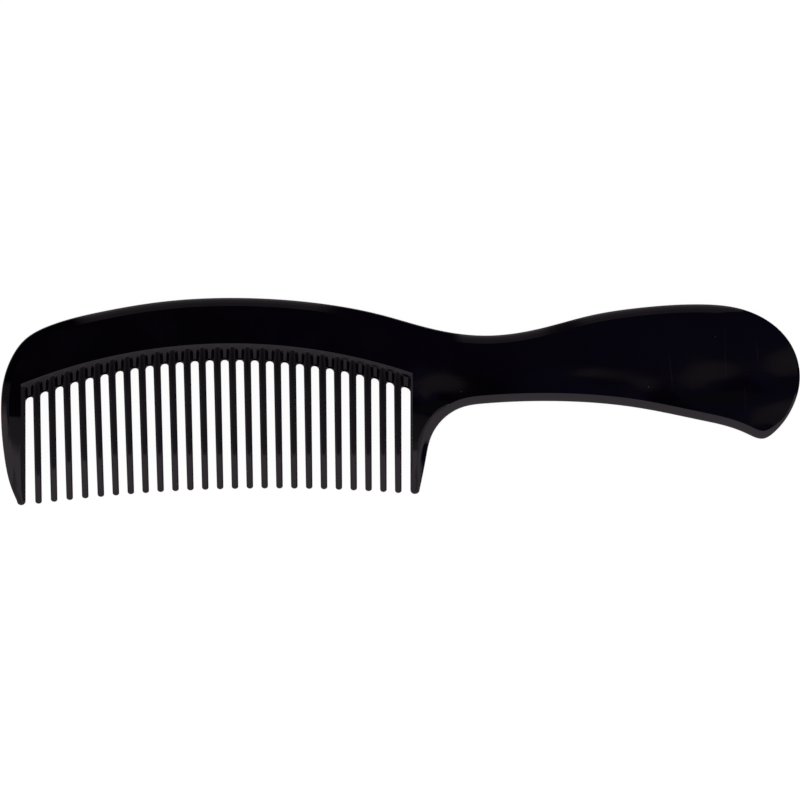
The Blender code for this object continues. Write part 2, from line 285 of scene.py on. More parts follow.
# Thinning of the guards: heights down each one, and the slope of its face at each, in degrees
NOSE_FALL = (
    (-15.0, 0.0), (-16.0, 2.1), (-17.0, 1.3), (-19.0, 2.0),
    (-21.6, 3.1), (-27.0, 4.3), (-31.0, 4.8), (-39.0, 5.2),
)
HEEL_FALL = (
    (-16.0, 0.0), (-17.5, 0.5), (-21.5, 0.8), (-23.0, 1.7), (-25.0, 4.6), (-28.3, 5.4), (-36.0, 6.2),
)
HEEL_REACH = 24.0
GUARD_CROWN = 0.079
GUARD_CROWN_REACH = 5.0

# Shallow facet at the heel: where it begins, its lowest height, the way that it falls, and its slope
HEEL_FACET = (115.9, -14.85)
HEEL_FACET_LOW = -16.0
HEEL_FACET_WAY = (0.87, 0.49)
HEEL_FACET_SLOPE = math.tan(math.radians(1.3))


def fallen(y, slopes):
    """How far a face has come down at a height, with its slope given at some heights."""
    total = 0.0
    for (high, first), (low, last) in zip(slopes, slopes[1:]):
        if y < high:
            share = (high - max(y, low)) / (high - low)
            reached = first + (last - first) * share
            total += (high - max(y, low)) * math.tan(math.radians((first + reached) / 2))
    return total


def thinning(x, y):
    """Share of its height that the moulding keeps at a place: it thins down the guards and in its sinks."""
    depth = 0.0
    for middle_x, middle_y, left, right, above, under, deep in SINKS:
        along = (x - middle_x) / (right if x > middle_x else left)
        across = (y - middle_y) / (above if y > middle_y else under)
        depth += deep * math.exp(-(along ** 2 + across ** 2) / 2)
    if x < window_left + TOOTH_SEAT:
        grown = smooth((NOSE_FALL[0][0] - y) / GUARD_CROWN_REACH)
        depth += fallen(y, NOSE_FALL)
        depth += GUARD_CROWN * HALF_BODY * grown * ((window_left - x) / NOSE_WIDTH) ** 2
    elif window_right - TOOTH_SEAT < x < window_right + HEEL_REACH:
        depth += fallen(y, HEEL_FALL)
        away_x = HEEL_FACET[0] - x
        away_y = HEEL_FACET[1] - max(y, HEEL_FACET_LOW)
        depth += HEEL_FACET_SLOPE * max(HEEL_FACET_WAY[0] * away_x + HEEL_FACET_WAY[1] * away_y, 0.0)
    return 1 - depth / HALF_BODY


def below(point):
    """The same point on the underside."""
    return (point[0], point[1], -point[2])


# Digits to which points that coincide agree, and two settings of the triangulation
POINT_DIGITS = 4
FILL_INSIDE = 1
FILL_REACH = 1e-5


class Shell:
    """Points and faces of one closed piece, with points that coincide used once."""

    def __init__(self):
        self.points = []
        self.found = {}
        self.faces = []
        self.sharp = set()
        self.seams = set()

    def point(self, place):
        """Number of the point at a place."""
        key = tuple(round(value, POINT_DIGITS) + 0.0 for value in place)
        if key not in self.found:
            self.found[key] = len(self.points)
            self.points.append(place)
        return self.found[key]

    def face(self, corners):
        """Adds a face, without the corners that coincide."""
        loop = []
        for corner in corners:
            index = self.point(corner)
            if index not in loop:
                loop.append(index)
        if len(loop) > 2:
            self.faces.append(loop)

    def both(self, corners):
        """Adds a face above, and the same one below."""
        self.face(corners)
        self.face([below(corner) for corner in corners])

    def strips(self, rows, walls=(-1,)):
        """Faces between rows of points, above and below, with walls at their feet or ends."""
        for here, there in zip(rows, rows[1:]):
            for k in range(len(here) - 1):
                self.both((here[k], there[k], there[k + 1], here[k + 1]))
            for k in walls:
                self.face((below(here[k]), below(there[k]), there[k], here[k]))

    def ring(self, upper):
        """A flat face whose upper half is given, such as a seam."""
        self.face(list(upper) + [below(p) for p in reversed(upper)])
        self.seams.add(len(self.faces) - 1)

    def cap(self, loop, spacing, lines=(), height=None):
        """Fills the inside of a loop with even triangles that keep to the lines given, on both sides."""
        flat = [(p[0], p[1]) for p in loop]
        count = len(flat)
        places = flat + inside_grid(np.array(flat), spacing, lines)
        edges = [(k, (k + 1) % count) for k in range(count)]
        for line in lines:
            edges += [(len(places) + k, len(places) + k + 1) for k in range(len(line) - 1)]
            places += line
        rim = [list(range(count))]
        found, _, triangles, sources, _, _ = delaunay_2d_cdt(places, edges, rim, FILL_INSIDE, FILL_REACH)
        solid = []
        for place, origin in zip(found, sources):
            if origin and min(origin) < count:
                solid.append(loop[min(origin)])
                continue
            x, y = places[origin[0]] if origin else place
            solid.append((x, y, HALF_BODY if height is None else height(x, y)))
        for triangle in triangles:
            self.both([solid[k] for k in triangle])

    def crisp(self, line):
        """Marks the edges along a line of points, above and below, as a crease."""
        for a, b in zip(line, line[1:]):
            self.sharp.add(frozenset((self.point(a), self.point(b))))
            self.sharp.add(frozenset((self.point(below(a)), self.point(below(b)))))

    def mesh(self, name, sharp_angle):
        """Writes the shell to a mesh in the frame's place, in metres."""
        placed = [tuple((np.array((x, y, z * thinning(x, y))) + to_origin) * MM) for x, y, z in self.points]
        mesh = bpy.data.meshes.new(name)
        mesh.from_pydata(placed, [], self.faces)
        bm = bmesh.new()
        bm.from_mesh(mesh)
        bmesh.ops.recalc_face_normals(bm, faces=bm.faces)
        bm.to_mesh(mesh)
        bm.free()
        worn = mesh.attributes.new("wear", "FLOAT", "POINT")
        worn.data.foreach_set("value", edge_wear(mesh, self.seams))
        mesh.shade_smooth()
        mesh.set_sharp_from_angle(angle=math.radians(sharp_angle))
        for edge in mesh.edges:
            if frozenset(edge.vertices) in self.sharp:
                edge.use_edge_sharp = True
        return mesh


def edge_wear(mesh, seams):
    """How exposed each vertex is: 1 on an edge that turns by a right angle, 0 on a flat or a seam."""
    normals = np.array([face.normal[:] for face in mesh.polygons])
    first = {}
    wear = np.zeros(len(mesh.vertices))
    for face in mesh.polygons:
        if face.index in seams:
            continue
        for key in face.edge_keys:
            if key not in first:
                first[key] = face.index
                continue
            turn = math.acos(min(max(float(normals[face.index] @ normals[first[key]]), -1.0), 1.0))
            for vertex in key:
                wear[vertex] = max(wear[vertex], min(turn / (math.pi / 2), 1.0))
    return wear


# Rise and offsets of the rows of an even fill, the room that they leave, and a span's least square
ROW_RISE = math.sqrt(0.75)
FIRST_OFFSET = 0.25
ROW_OFFSET = 0.5
EDGE_ROOM = 0.5
LEAST_SQUARE = 1e-12


def inside_grid(loop, spacing, lines):
    """Evenly staggered points inside a loop, kept off its edge and off the lines."""
    low, high = loop.min(0), loop.max(0)
    following = np.roll(loop, -1, axis=0)
    starts = np.vstack([loop] + [line[:-1] for line in lines])
    ends = np.vstack([following] + [line[1:] for line in lines])
    spans = ends - starts
    lengths = np.maximum((spans ** 2).sum(1), LEAST_SQUARE)
    rise = spacing * ROW_RISE
    points = []
    for row in range(int((high[1] - low[1]) / rise) + 1):
        y = low[1] + (row + 0.5) * rise
        crossing = (loop[:, 1] > y) != (following[:, 1] > y)
        a, b = loop[crossing], following[crossing]
        cuts = a[:, 0] + (y - a[:, 1]) * (b[:, 0] - a[:, 0]) / (b[:, 1] - a[:, 1])
        first = low[0] + (FIRST_OFFSET + ROW_OFFSET * (row % 2)) * spacing
        for x in np.arange(first, high[0], spacing):
            if np.count_nonzero(cuts > x) % 2:
                p = np.array((x, y))
                along = np.clip(((p - starts) * spans).sum(1) / lengths, 0, 1)
                nearest = np.linalg.norm(starts + along[:, None] * spans - p, axis=1).min()
                if nearest > EDGE_ROOM * spacing:
                    points.append((float(x), float(y)))
    return points


# The outer edge narrows round the handle's end, between these shares of the handle's length
END_BAND_SHARE = 0.3
END_TOP_PLACES = (0.79, 0.86)
END_TAIL_PLACES = (0.907, 0.965)

# Marks over which the way inwards turns to that of a seam
SEAM_TURN = 8

# The outer edge is broader round the heel: by how much, and the heights between which it is
HEEL_BROADER = 0.33
HEEL_BROAD_TOP = (-12.5, 3.5)
HEEL_BROAD_FOOT = (-29.0, 8.0)


def broadening(x, y):
    """Share of its usual width that the outer edge has at a point of the outline."""
    if not window_right < x < window_right + 2 * HEEL_WIDTH:
        return 1.0
    (top, fade_in), (foot, fade_out) = HEEL_BROAD_TOP, HEEL_BROAD_FOOT
    return 1 + HEEL_BROADER * smooth((top - y) / fade_in) * smooth((y - foot) / fade_out)


def band_at(x, y):
    """Profile of the outer edge at a point of the outline."""
    along = (x - window_right) / HANDLE_LENGTH
    places = END_TOP_PLACES if y > 0 else END_TAIL_PLACES
    share = float(np.interp(along, places, (1.0, END_BAND_SHARE)))
    outer = SKIN + PARTING_RISE
    profile = []
    for inset, z in BAND:
        if z > PARTING_HALF:
            inset, z = outer + (inset - outer) * share, HALF_BODY - (HALF_BODY - z) * share
        profile.append((inset, z))
    return profile


def band_rows(marks, seams):
    """Rows of points down the rounded outer edge at each mark of the outline."""
    grid = []
    for mark in marks:
        inward = inwards[mark]
        for seam, direction in seams.items():
            near = smooth(1 - abs(mark - seam) / SEAM_TURN)
            inward = inward + (np.array(direction) - inward) * near
        inward = inward / np.dot(inward, inwards[mark])
        x, y = outline[mark]
        inward = inward * broadening(x, y)
        grid.append([(x + inward[0] * d, y + inward[1] * d, z) for d, z in band_at(x, y)])
    grid = np.array(grid)
    for level in range(grid.shape[1]):
        untangle(grid[:, level], outline[list(marks)])
    return [[tuple(p) for p in row] for row in grid.tolist()]


def untangle(line, guide):
    """Draws together the points of an inset line where it runs against the outline."""
    backwards = (np.diff(line[:, :2], axis=0) * np.diff(guide, axis=0)).sum(1) <= 0
    k = 0
    while k < len(backwards):
        last = k
        while last < len(backwards) and backwards[last]:
            last += 1
        if last > k:
            line[k:last + 1, :2] = line[k:last + 1, :2].mean(0)
        k = last + 1


def between(a, b, count):
    """Points between two ends, which are left out."""
    a, b = np.array(a), np.array(b)
    return [tuple(float(v) for v in a + (b - a) * k / count) for k in range(1, count)]


def guard_edge(x, y, towards, profile):
    """A row of points down a guard's inner edge."""
    return [(x + towards * d, y, z) for d, z in profile]


# Hoods over the last pads: depths of lip and foot, rise of the arch, and widths along the row
HOOD = (1.15, 1.5)
HOOD_ARCH = 0.25
HOOD_WIDTHS = (0.28, 0.32, 0.38, 0.45, 0.65)
HOOD_SIDES = 3

# Rows over the bevel: depths below its crease, then an even share of the rest, then its rounded foot
HIGH_ROWS = (
    0.0, 0.08, 0.17, 0.4, 0.55, 0.68, 0.8, 0.92, 1.05, HOOD[0], HOOD[0] + 0.005, 1.25, 1.38, HOOD[1],
    1.62, 1.72, 1.82, 1.9, 2.0, 2.15,
)
EVEN_ROWS = 7
FOOT_ROWS = (0.55, 0.49, 0.07, 0.0)
FOOT_STEP = 0.05
LEAST_RISE = 0.01
BEVEL_SLOPES = (math.tan(math.radians(19.2)), math.tan(math.radians(22.5)))
CREASE_ROWS = 3
CREASE_SOFTNESS = 0.17

# Slots beside each ridge: width, depth and arch of the top, wall, and the run over which one sinks
SLOT_WIDTH = 0.62
SLOT_TOP = 1.35
SLOT_ARCH = 0.7
SLOT_WALL = 0.05
SLOT_RUN = 0.1
GAP_PLACES = (0.0, 0.08, 0.2, 0.35, 0.5, SLOT_WIDTH - SLOT_WALL, SLOT_WIDTH, 0.69, 0.8)

# Ridges of the tooth roots: depths, the crown at each, and the fillet where a ridge meets the bevel
RIDGE_DEPTHS = (0.8, 3.5)
RIDGE_CROWNS = (2.0, CROWN)
RIDGE_FILLET = 0.08


def bevel_z(depth):
    """Height of the bevel above the teeth, by depth below its softened crease."""
    if depth <= 0:
        return HALF_BODY
    first, last = BEVEL_SLOPES
    bend = (last - first) / ROOT_BEVEL
    if depth < CREASE_SOFTNESS:
        return HALF_BODY - (first * depth ** 2 / 2 + bend * depth ** 3 / 3) / CREASE_SOFTNESS
    bent = bend * (depth ** 2 / 2 - CREASE_SOFTNESS ** 2 / 6)
    return HALF_BODY - first * (depth - CREASE_SOFTNESS / 2) - bent


# Depths and heights by which the bevel is looked up
BEVEL_STEP = 0.01
BEVEL_POINTS = 601
BEVEL_DEPTHS = [BEVEL_STEP * k for k in range(BEVEL_POINTS)]
BEVEL_HEIGHTS = [bevel_z(depth) for depth in BEVEL_DEPTHS]


def smooth(value):
    """Eases a share from 0 to 1."""
    value = min(max(value, 0.0), 1.0)
    return value * value * (3 - 2 * value)


def soft_max(a, b, reach):
    """The greater of two heights, filleted where they meet."""
    blend = max(reach - abs(a - b), 0.0)
    return max(a, b) + blend * blend / reach / 4


def depths(last):
    """Depths of the rows from the crease down to the lowest."""
    start = HIGH_ROWS[-1]
    reach = last - FOOT_ROWS[0] - start
    even = [start + reach * (k + 1) / (EVEN_ROWS + 1) for k in range(EVEN_ROWS)]
    return list(HIGH_ROWS) + even + [last - foot for foot in FOOT_ROWS]


def tooth_half(index, y):
    """Half the thickness of a tooth along its middle line, which bends lower down."""
    past = BEND_Y + np.interp(index, BEND_PLACES, BEND_SHIFTS) - y
    sharpness = BEND_SPAN / 4
    bent = sharpness * math.log1p(math.exp(past / sharpness)) if past > -BEND_REACH else 0.0
    bend = math.tan(math.radians(LOWER_SLOPE)) - math.tan(math.radians(TOOTH_FALL[-1][1]))
    half = ROOT_HALF + fallen(0.0, TOOTH_FALL) - fallen(y - root_y(index), TOOTH_FALL) - bend * bent
    return max(half, TIP_HALF)


# Places across a tooth, as shares of its half width
RIGHT_HALF = (0.16, 0.42, 0.62, 0.74, 0.84, 0.92, 0.98, 1.0)
ACROSS = [-share for share in reversed(RIGHT_HALF)] + list(RIGHT_HALF)


def tooth_drop(across, half_width, half, crown=CROWN):
    """How far a tooth's rounded face has fallen at a share of its half width."""
    u = abs(across) * half_width
    radius = min(CORNER_RADIUS, CORNER_LIMITS[0] * half, CORNER_LIMITS[1] * half_width)
    past = max(u - (half_width - radius), 0.0)
    return crown * u ** 4 / 4 + radius - math.sqrt(max(radius ** 2 - past ** 2, 0.0))


def ridge_rows(index):
    """Rows down the ridge of a tooth on the back, from its right side to its left."""
    half_width = TOOTH_ROOT_WIDTH / 2
    low = root_y(index)
    rows = []
    for across in reversed(ACROSS):
        x = root_x(index) + across * half_width
        row = []
        for depth in depths(crease_y(x) - low):
            half = tooth_half(index, crease_y(x) - depth)
            crown = float(np.interp(depth, RIDGE_DEPTHS, RIDGE_CROWNS))
            ridge = half - tooth_drop(across, half_width, half, crown)
            row.append((x, crease_y(x) - depth, soft_max(bevel_z(depth), ridge, RIDGE_FILLET)))
        half = tooth_half(index, low)
        row[-1] = (x, low, half - tooth_drop(across, half_width, half))
        rows.append(row)
    return rows


def hood_lift(across, depth, hood_width):
    """How far the rows round a hood rise towards the middle of its gap."""
    places = (HIGH_ROWS[3], HOOD[0], HOOD[1], HIGH_ROWS[-1])
    lifts = (0.0, HOOD_ARCH, HOOD_ARCH + HOOD[1] - HOOD[0] - hood_width, 0.0)
    return (1 - across ** 2) * float(np.interp(depth, places, lifts))


def gap_rows(left, right, hood_width=0.0):
    """Rows over one gap, from right to left: a slot, the sloping pad, a slot."""
    width = right - left
    places = list(GAP_PLACES) + [width / 2] + [width - place for place in reversed(GAP_PLACES)]
    rows = []
    for place in reversed(places):
        x = left + place
        side = min(place, width - place)
        across = 2 * place / width - 1
        low = arch_y(x) - GAP_TOP_RISE * (1 - math.sqrt(max(1 - across ** 2, 0.0)))
        in_slot = 1 - smooth((side - SLOT_WIDTH + SLOT_WALL) / SLOT_WALL)
        top = HOOD[1] if hood_width else SLOT_TOP + SLOT_ARCH * (side / SLOT_WIDTH) ** 2
        row = []
        for depth in depths(crease_y(x) - low):
            lift = hood_lift(across, depth, hood_width) if hood_width else 0.0
            y = crease_y(x) - depth + lift
            height = bevel_z(depth - lift)
            if hood_width and HOOD[0] < depth < HOOD[1]:
                height = bevel_z(HOOD[1] - hood_lift(across, HOOD[1], hood_width))
            height -= max(height - FLOOR_HALF, 0.0) * in_slot * smooth((depth - top) / SLOT_RUN)
            foot = smooth((FOOT_ROWS[0] - (y - low)) / (FOOT_ROWS[0] - FOOT_ROWS[1]))
            height -= max(height - FLOOR_HALF, 0.0) * foot
            row.append((x, y, height if y > low + LEAST_RISE else FLOOR_HALF - FOOT_STEP))
        rows.append(row)
    return rows


def add_wall(shell, row, x, edge, count):
    """Adds the upright side of a guard beside the row, and returns its upper points from the crease down."""
    top = edge[-1][2]
    upper = [(p[0], p[1], max(p[2], min(top, bevel_z(crease_y(x) - p[1])))) for p in row]
    for k in range(len(row) - 1):
        shell.both((upper[k], row[k], row[k + 1], upper[k + 1]))
    run = [upper[-1]] + between(upper[-1], edge[-1], count) + [edge[-1]]
    shell.face((below(run[1]), below(run[0]), below(row[-1]), row[-1], run[0], run[1]))
    for a, b in zip(run[1:], run[2:]):
        shell.face((below(b), below(a), a, b))
    return upper + run[1:]


# Spacing of the points down a guard's inner edge, their number across its bevel, and lines that crease
EDGE_SPACING = 0.9
ACROSS_POINTS = 4
MITRE_CREASES = 3


def mitre_lines(x, towards, profile, seam):
    """Lines for the cap beside a guard, of which the first three are creases."""
    down = []
    mitre = []
    for inset, z in profile:
        line_x = x + towards * inset
        top = crease_y(line_x) - depth_of(z)
        mitre.append((line_x, top))
        count = max(int((top - seam) / EDGE_SPACING), 2)
        down.append([(line_x, top)] + between((line_x, top), (line_x, seam), count) + [(line_x, seam)])
    across = []
    for depth in HIGH_ROWS[:CREASE_ROWS]:
        inset = profile[0][0]
        if depth > 0:
            inset = np.interp(-bevel_z(depth), [-z for _, z in profile], [d for d, _ in profile])
        line = np.linspace(x + towards * inset, x, ACROSS_POINTS)
        across.append([(float(px), crease_y(px) - depth) for px in line])
    return [down[0], mitre, across[0]] + down[1:-1] + across[1:]


# Slack for a point on a guard's inner edge
NEAR_EDGE = 1e-6


def depth_of(z):
    """Depth below the crease at which the bevel has a height."""
    return float(np.interp(-z, [-height for height in BEVEL_HEIGHTS], BEVEL_DEPTHS))


def back_height(x, y):
    """Height of the back's face beside the row: flat, bevelled above the teeth and along the guards."""
    arch = HALF_BODY
    if window_left - NOSE_BEVEL < x < window_right + HEEL_BEVEL:
        arch = bevel_z(crease_y(x) - y)
    if y >= ROOT_BEVEL:
        return arch
    guard = HALF_BODY
    for edge, towards, profile in ((window_left, -1, NOSE_EDGE), (window_right, 1, HEEL_EDGE)):
        inset = (x - edge) * towards
        if -NEAR_EDGE <= inset < profile[0][0]:
            insets, heights = zip(*reversed(profile))
            guard = float(np.interp(inset, insets, heights))
    return max(arch, guard)


# Fineness of the flat faces, the seam at the neck, the guards' walls and their flat middles
CAP_SPACING = 1.3
NECK_STEPS = 16
NOSE_WALL_STEPS = 3
HEEL_WALL_STEPS = 24
FLAT_STEPS = 5
SAME_POINT = 1e-4

# Angles in degrees from which an edge is sharp
BODY_SHARP = 30
GUARD_SHARP = 18
TOOTH_SHARP = 35

# Ways inwards at the seams
RIGHT = (1, 0)
LEFT = (-1, 0)
UP = (0, 1)
DOWN = (0, -1)


def distinct(loop):
    """The points of a loop without those that repeat the one before."""
    return [p for k, p in enumerate(loop) if math.dist(p, loop[k - 1]) > SAME_POINT]


def make_back():
    """The blade with the root of every tooth."""
    shell = Shell()
    nose_side = band_rows(range(nose_mark, neck_top_mark + 1), {nose_mark: RIGHT, neck_top_mark: DOWN})
    heel_side = band_rows(range(neck_under_mark, heel_mark + 1), {neck_under_mark: UP, heel_mark: LEFT})
    shell.strips(nose_side)
    shell.strips(heel_side)
    half = TOOTH_ROOT_WIDTH / 2
    right = window_right
    hood_widths = list(HOOD_WIDTHS)
    rows = []
    for index in reversed(range(TOOTH_COUNT)):
        hood_width = hood_widths.pop() if hood_widths else 0.0
        gap = gap_rows(root_x(index) + half, right, hood_width)
        if hood_width:
            lip = HIGH_ROWS.index(HOOD[1])
            side = len(GAP_PLACES) - HOOD_SIDES
            shell.crisp([row[lip] for row in gap[side:-side]])
        rows += gap + ridge_rows(index)
        right = root_x(index) - half
    rows += gap_rows(window_left, right)
    shell.strips(rows)
    heel_edge = guard_edge(window_right, heel_seam, 1, HEEL_EDGE)
    nose_edge = guard_edge(window_left, nose_seam, -1, NOSE_EDGE)
    heel_wall = add_wall(shell, rows[0], window_right, heel_edge, HEEL_WALL_STEPS)
    nose_wall = add_wall(shell, rows[-1], window_left, nose_edge, NOSE_WALL_STEPS)
    nose_top, heel_top, row_top = ([row[0] for row in side] for side in (nose_side, heel_side, rows))
    neck = between(nose_top[-1], heel_top[0], NECK_STEPS)
    loop = nose_top + neck + heel_top + heel_edge[:-1] + heel_wall[:0:-1]
    loop += row_top + nose_wall[1:] + nose_edge[-2::-1]
    heel_lines = mitre_lines(window_right, 1, HEEL_EDGE, heel_seam)
    nose_lines = mitre_lines(window_left, -1, NOSE_EDGE, nose_seam)
    shell.cap(distinct(loop), CAP_SPACING, heel_lines + nose_lines, back_height)
    for line in heel_lines[:MITRE_CREASES] + nose_lines[:MITRE_CREASES]:
        shell.crisp([(x, y, back_height(x, y)) for x, y in line])
    for line in (nose_top, heel_top, row_top):
        shell.crisp(line)
    shell.ring(nose_side[0][::-1] + nose_edge)
    shell.ring(heel_side[-1][::-1] + heel_edge)
    shell.ring(nose_side[-1][::-1] + neck + heel_side[0])
    dress(shell, BODY_SHARP, "back")


def make_handle():
    """The grip, from the seam at the neck to its rounded end."""
    shell = Shell()
    rows = band_rows(range(neck_top_mark, neck_under_mark + 1), {neck_top_mark: DOWN, neck_under_mark: UP})
    shell.strips(rows)
    top = [row[0] for row in rows]
    neck = between(top[0], top[-1], NECK_STEPS)
    shell.cap(distinct(top + neck[::-1]), CAP_SPACING)
    shell.crisp(top)
    shell.ring(rows[0][::-1] + neck + rows[-1])
    dress(shell, BODY_SHARP, "handle")


# Turns in degrees through which a rounded tip is built, and how bluntly its thickness runs out
TIP_TURNS = (12, 24, 36, 48, 60, 70, 79, 86)
GUARD_BLUNTNESS = 0.5
TOOTH_BLUNTNESS = 0.7

# Least share of a guard's width that stays flat
FLAT_SHARE = 0.08


def guard_upper(outer_x, inner_x, y, edge, stretch, thin=1.0):
    """Upper half of a level section of a guard, from its outer edge to its inner one.

    The outer edge is stretched by as much as the outline leans there.
    """
    width = abs(inner_x - outer_x)
    towards = math.copysign(1.0, inner_x - outer_x)
    squeeze = min(1.0, (1 - FLAT_SHARE) * width / (stretch * BAND[0][0] + edge[0][0]))
    outer = [(outer_x + towards * d * stretch * squeeze, z) for d, z in reversed(BAND)]
    inner = [(inner_x - towards * d * squeeze, z) for d, z in edge]
    a, b = outer[-1][0], inner[0][0]
    middle = [(a + (b - a) * k / FLAT_STEPS, HALF_BODY) for k in range(1, FLAT_STEPS)]
    return [(x, y, z * thin) for x, z in outer + middle + inner]


def make_guard(node, marks, inner_x, tip, edge, seam_ring):
    """A guard, from its seam to its rounded tip."""
    uppers = [seam_ring]
    for mark in marks[1:]:
        x, y = outline[mark]
        uppers.append(guard_upper(x, inner_x, y, edge, broadening(x, y) / abs(inwards[mark][0])))
    last_x, last_y = outline[marks[-1]]
    stretch = 1 / abs(inwards[marks[-1]][0])
    centre = (last_x + inner_x) / 2
    for turn in TIP_TURNS:
        angle = math.radians(turn)
        y = last_y + (tip + SKIN - last_y) * math.sin(angle)
        half = (inner_x - last_x) / 2 * math.cos(angle)
        thin = math.cos(angle) ** GUARD_BLUNTNESS
        uppers.append(guard_upper(centre - half, centre + half, y, edge, stretch, thin))
    dress(loft(uppers), GUARD_SHARP, node)


def loft(uppers):
    """A closed solid through sections given by their upper halves."""
    shell = Shell()
    shell.strips(uppers, walls=(0, -1))
    shell.ring(uppers[0])
    shell.ring(uppers[-1])
    return shell


def make_guards():
    """The broad guard at the nose and the slim one at the heel."""
    for node, first, last, inner_x, way, seam, tip, edge in (
        ("nose_guard", nose_mark, 0, window_left, -1, nose_seam, nose_tip, NOSE_EDGE),
        ("heel_guard", heel_mark, len(outline) - 1, window_right, 1, heel_seam, heel_tip, HEEL_EDGE),
    ):
        ring = band_rows([first], {first: (-way, 0)})[0][::-1]
        inner = guard_edge(inner_x, seam, way, edge)
        ring += between(ring[-1], inner[0], FLAT_STEPS) + inner
        make_guard(node, range(first, last + way, way), inner_x, tip, edge, ring)


# Sections of a tooth between its seam and its tip
TOOTH_SECTIONS = 34


def make_tooth(index):
    """A tooth, from its seam on the back to its rounded tip."""
    start_x, start_y = root_x(index), root_y(index)
    end_y = tip_y(start_x) + SKIN
    round_y = end_y + TIP_ROUNDING
    levels = []
    for step in range(TOOTH_SECTIONS + 1):
        share = step / TOOTH_SECTIONS
        y = start_y + (round_y - start_y) * share
        half_width = (TOOTH_ROOT_WIDTH + (TOOTH_TIP_WIDTH - TOOTH_ROOT_WIDTH) * share) / 2
        levels.append((y, half_width, tooth_half(index, y)))
    for turn in TIP_TURNS:
        angle = math.radians(turn)
        y = round_y + (end_y - round_y) * math.sin(angle)
        half = tooth_half(index, round_y) * math.cos(angle) ** TOOTH_BLUNTNESS
        levels.append((y, TOOTH_TIP_WIDTH / 2 * math.cos(angle), half))
    uppers = []
    for y, half_width, half in levels:
        x = start_x + lean_of(index) * (start_y - y)
        uppers.append([(x + a * half_width, y, half - tooth_drop(a, half_width, half)) for a in ACROSS])
    dress(loft(uppers), TOOTH_SHARP, f"tooth_{index + 1:02d}")


def dress(shell, sharp_angle, node):
    """Makes the piece of a node, gives it its plastic, and sets it in the frame."""
    name = f"{node}_moulding"
    mesh = shell.mesh(name, sharp_angle)
    mesh.materials.append(plastic)
    piece = bpy.data.objects.new(name, mesh)
    bpy.context.scene.collection.objects.link(piece)
    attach(piece, "root")
    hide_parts(node)


# Sockets of a colour mix: its two colours and its result
MIX_A = 6
MIX_B = 7
MIX_RESULT = 2


class Nodes:
    """Short ways to add shader nodes to a tree."""

    def __init__(self, holder):
        holder.use_nodes = True
        self.tree = holder.node_tree
        self.tree.nodes.clear()

    def put(self, socket, value):
        """Links a socket, or sets it to a plain value."""
        if isinstance(value, bpy.types.NodeSocket):
            self.tree.links.new(value, socket)
        else:
            socket.default_value = value

    def add(self, kind, inputs=None, **settings):
        """A new node with some settings and with some inputs linked or set."""
        node = self.tree.nodes.new(kind)
        for name, value in settings.items():
            setattr(node, name, value)
        for key, value in (inputs or {}).items():
            self.put(node.inputs[key], value)
        return node

    def math(self, operation, *values):
        """The result of a sum, product or other operation."""
        return self.add("ShaderNodeMath", dict(enumerate(values)), operation=operation).outputs[0]

    def times(self, first, *others):
        """The product of some values."""
        for other in others:
            first = self.math("MULTIPLY", first, other)
        return first

    def most(self, first, *others):
        """The greatest of some values."""
        for other in others:
            first = self.math("MAXIMUM", first, other)
        return first

    def step(self, value, low, high):
        """Rises smoothly from 0 to 1 as the value goes from low to high."""
        reach = {"Value": value, "From Min": low, "From Max": high}
        return self.add("ShaderNodeMapRange", reach, interpolation_type="SMOOTHSTEP").outputs[0]

    def window(self, value, low, high, soft):
        """Is 1 between low and high, and falls to 0 over the soft reach outside them."""
        return self.times(self.step(value, low - soft, low), self.step(value, high + soft, high))

    def noise(self, vector, scale, detail, rough, stretch=(1.0, 1.0, 1.0), offset=(0.0, 0.0, 0.0)):
        """A noise pattern, which a stretch below 1 draws out along that axis."""
        placed = self.add("ShaderNodeMapping", {"Vector": vector, "Location": offset, "Scale": stretch})
        inputs = {"Vector": placed.outputs[0], "Scale": scale, "Detail": detail, "Roughness": rough}
        return self.add("ShaderNodeTexNoise", inputs).outputs["Fac"]

    def mix(self, factor, a, b, blend="MIX"):
        """A mix of two colours."""
        inputs = {"Factor": factor, MIX_A: a, MIX_B: b}
        return self.add("ShaderNodeMix", inputs, data_type="RGBA", blend_type=blend).outputs[MIX_RESULT]


# Painted reflection lines on the grip, drawn as bowed hairlines in place of reflections of lamp edges, in
# metres: upper end, lower end and sag of each
PAINTED_REFLECTION_LINES = (
    ((0.0724, 0.0131), (0.0734, 0.0026), 0.0002),
    ((0.0878, 0.0209), (0.0881, 0.0058), -0.0003),
    ((0.0958, 0.0168), (0.0965, 0.0109), 0.0001),
    ((0.0928, 0.0038), (0.0931, -0.0024), 0.0001),
)
# Width of the painted reflection lines, and the share of their length over which their ends fade
PAINTED_LINE_WIDTH = 0.00013
PAINTED_LINE_FADE = 0.1


def painted_reflection_line(n, x, y, start, end, sag):
    """1 along one bowed hairline of painted reflection."""
    (start_x, high), (end_x, low) = start, end
    share = n.math("DIVIDE", n.math("SUBTRACT", high, y), high - low)
    bow = n.times(share, n.math("SUBTRACT", 1.0, share), 4 * sag)
    line = n.math("ADD", n.math("MULTIPLY_ADD", share, end_x - start_x, start_x), bow)
    away = n.math("ABSOLUTE", n.math("SUBTRACT", x, line))
    across = n.step(away, PAINTED_LINE_WIDTH, PAINTED_LINE_WIDTH / 4)
    return n.times(across, n.window(share, PAINTED_LINE_FADE, 1 - PAINTED_LINE_FADE, PAINTED_LINE_FADE))


